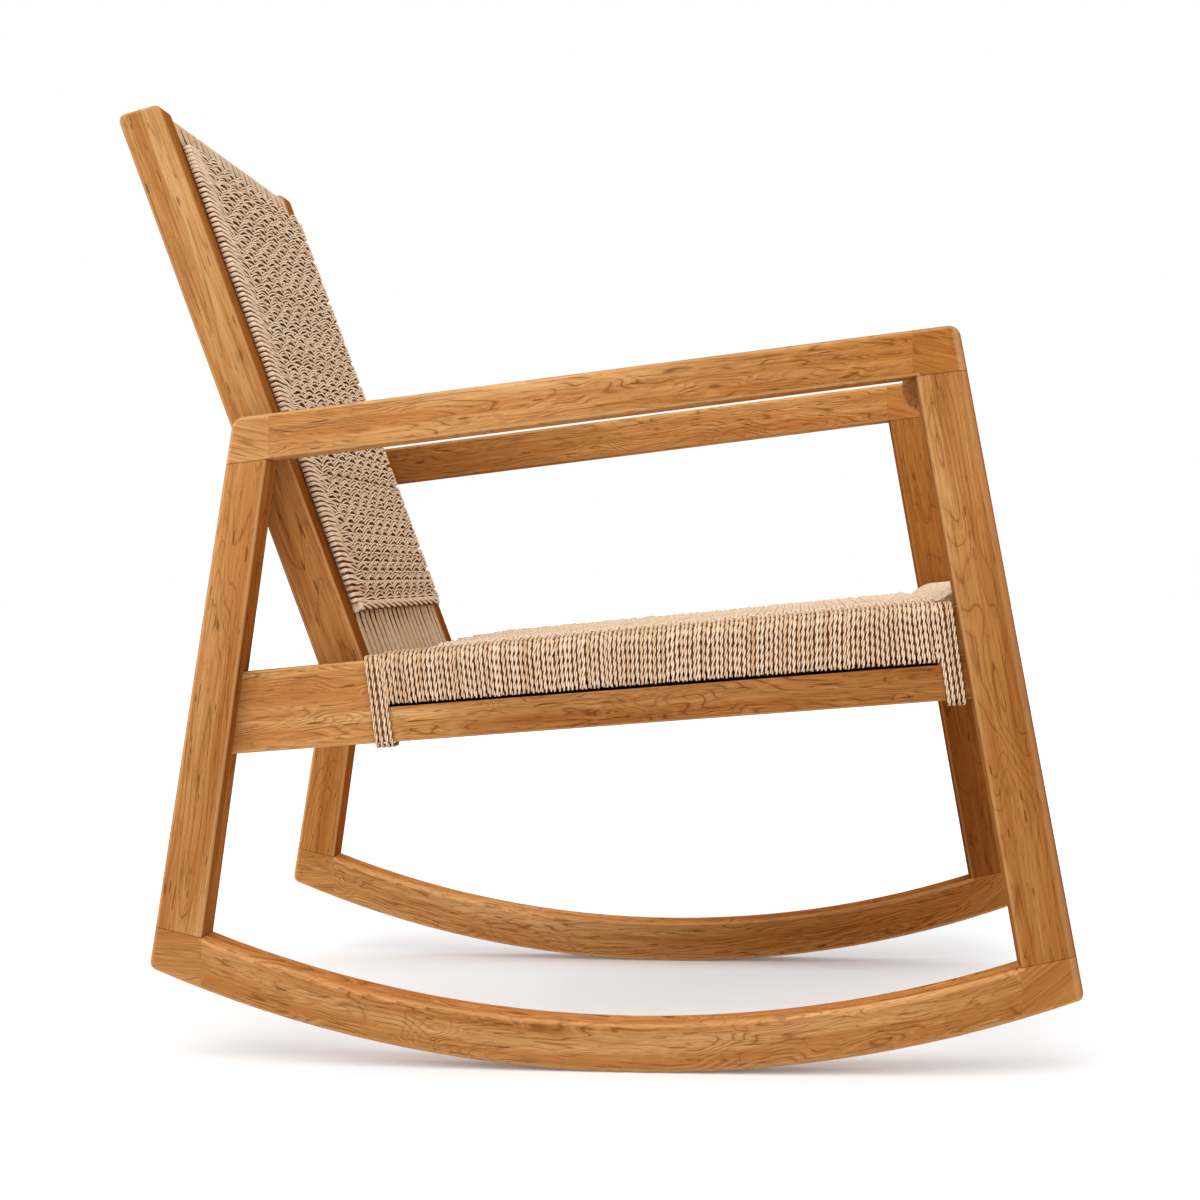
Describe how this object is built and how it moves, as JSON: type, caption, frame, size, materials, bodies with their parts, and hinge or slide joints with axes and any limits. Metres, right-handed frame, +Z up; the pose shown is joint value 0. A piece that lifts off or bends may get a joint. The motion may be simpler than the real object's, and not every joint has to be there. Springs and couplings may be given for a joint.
{
  "type": "rocking chair",
  "caption": "Rocking armchair of closed wooden side frames on curved rockers, with a seat and a leaning back woven in twisted paper cord.",
  "frame": {"origin": "middle of the chair's box, on the floor", "axes": "+X to the front of the chair, +Y to the sitter's left, +Z up from the floor"},
  "size_m": [0.89, 0.67, 0.8908],
  "materials": {
    "oiled_wood": "satin",
    "pale_tenon_wood": "matte",
    "paper_cord": "matte",
    "zinc_steel": "satin",
    "brass": "satin"
  },
  "bodies": {
    "root": {"back_weave": "paper_cord", "bottom_back_rail": "oiled_wood", "bottom_back_rail_tenons": "pale_tenon_wood", "bottom_rail_cord": "paper_cord", "front_rail_cord": "paper_cord", "front_seat_rail": "oiled_wood", "front_seat_rail_tenons": "pale_tenon_wood", "left_armrest": "oiled_wood", "left_back_cord_nails": "zinc_steel", "left_back_post": "oiled_wood", "left_frame_tenons": "pale_tenon_wood", "left_front_lashing": "paper_cord", "left_front_leg": "oiled_wood", "left_post_bolts": "zinc_steel", "left_post_inserts": "brass", "left_rear_lashing": "paper_cord", "left_rear_leg": "oiled_wood", "left_rocker": "oiled_wood", "left_seat_cord_nails": "zinc_steel", "left_seat_rail": "oiled_wood", "left_seat_rail_tenons": "pale_tenon_wood", "left_side_cord": "paper_cord", "rear_rail_cord": "paper_cord", "rear_seat_rail": "oiled_wood", "rear_seat_rail_tenons": "pale_tenon_wood", "right_armrest": "oiled_wood", "right_back_cord_nails": "zinc_steel", "right_back_post": "oiled_wood", "right_block_screw": "zinc_steel", "right_corner_block": "oiled_wood", "right_frame_tenons": "pale_tenon_wood", "right_front_lashing": "paper_cord", "right_front_leg": "oiled_wood", "right_post_bolts": "zinc_steel", "right_post_inserts": "brass", "right_rear_lashing": "paper_cord", "right_rear_leg": "oiled_wood", "right_rocker": "oiled_wood", "right_seat_cord_nails": "zinc_steel", "right_seat_rail": "oiled_wood", "right_seat_rail_tenons": "pale_tenon_wood", "right_side_cord": "paper_cord", "seat_weave": "paper_cord", "top_back_rail": "oiled_wood", "top_back_rail_tenons": "pale_tenon_wood", "top_rail_cord": "paper_cord"}
  },
  "joints": []
}
